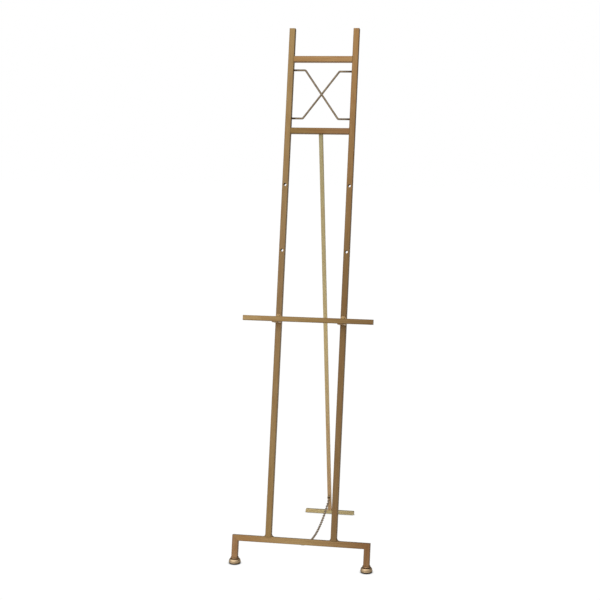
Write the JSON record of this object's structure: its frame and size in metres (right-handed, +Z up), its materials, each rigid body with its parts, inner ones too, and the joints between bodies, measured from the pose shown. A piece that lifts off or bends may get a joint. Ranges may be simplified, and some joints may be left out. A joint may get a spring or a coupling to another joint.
{
  "type": "display easel",
  "caption": "Folding floor easel of square brass-finished tube with a leaning ladder frame, bent-rod X, adjustable shelf, chained rear leg and bun feet.",
  "frame": {"origin": "middle of the floor rectangle that the standing easel covers", "axes": "+Z up, -Y towards the viewer of the picture, +X to the viewer's right; the rear leg is at +Y"},
  "size_m": [0.465, 0.5738, 1.688],
  "materials": {
    "brass_tube": "satin antique brass lacquer on steel tube",
    "brass_cap": "satin antique brass lacquer",
    "cross_rod": "darker antique brass lacquer on steel rod",
    "rear_tube": "satin antique brass lacquer on steel tube",
    "shelf_tube": "satin antique brass lacquer on steel tube",
    "shelf_strap": "satin antique brass lacquer on steel strap",
    "foot_brass": "turned and polished",
    "foot_pad": "matt",
    "zinc_steel": "zinc plated",
    "bush_brass": "machined",
    "fastener": "antique plated",
    "chain": "antique plated wire"
  },
  "bodies": {
    "frame": {"left_upright": "brass_tube", "right_upright": "brass_tube", "left_top_cap": "brass_cap", "right_top_cap": "brass_cap", "base_bar": "brass_tube", "left_short_leg": "brass_tube", "right_short_leg": "brass_tube", "lower_crossbar": "brass_tube", "upper_crossbar": "brass_tube", "front_cross_rod": "cross_rod", "back_cross_rod": "cross_rod", "left_foot_plug": "zinc_steel", "right_foot_plug": "zinc_steel", "left_foot_stud": "zinc_steel", "right_foot_stud": "zinc_steel", "left_foot_collar": "foot_brass", "right_foot_collar": "foot_brass", "left_bun_foot": "foot_brass", "right_bun_foot": "foot_brass", "left_foot_pad": "foot_pad", "right_foot_pad": "foot_pad", "hinge_ears": "brass_tube", "hinge_bolt": "fastener", "hinge_washers": "fastener", "hinge_nut": "fastener", "base_chain_screw": "fastener", "chain_end_rings": "chain", "chain_links": "chain", "shelf_washers": "fastener"},
    "leg": {"leg_head": "rear_tube", "hinge_bush": "bush_brass", "rear_leg": "rear_tube", "rear_foot_bar": "rear_tube", "rear_foot_caps": "rear_tube", "leg_chain_screw": "fastener"},
    "shelf": {"shelf_bar": "shelf_tube", "shelf_end_caps": "shelf_tube", "left_shelf_bracket": "shelf_strap", "right_shelf_bracket": "shelf_strap", "left_shelf_peg": "fastener", "right_shelf_peg": "fastener"},
    "left_nut": {"left_thumb_nut": "fastener"},
    "right_nut": {"right_thumb_nut": "fastener"}
  },
  "joints": [
    {"name": "leg_fold", "type": "hinge", "parent": "frame", "child": "leg", "pos_m": [0, 0.08448, 1.35526], "axis": [1, 0, 0], "range_deg": [-21.5, 0], "deforming": ["chain_links", "chain_end_rings"]},
    {"name": "shelf_draw", "type": "slide", "parent": "frame", "child": "shelf", "axis": [0, -0.9699, 0.2436], "range_m": [0, 0.07]},
    {"name": "left_nut_spin", "type": "hinge", "parent": "frame", "child": "left_nut", "pos_m": [-0.1055, -0.0647, 0.76945], "axis": [0, 0.9699, -0.2436], "continuous": true},
    {"name": "right_nut_spin", "type": "hinge", "parent": "frame", "child": "right_nut", "pos_m": [0.1055, -0.0647, 0.76945], "axis": [0, 0.9699, -0.2436], "continuous": true}
  ]
}
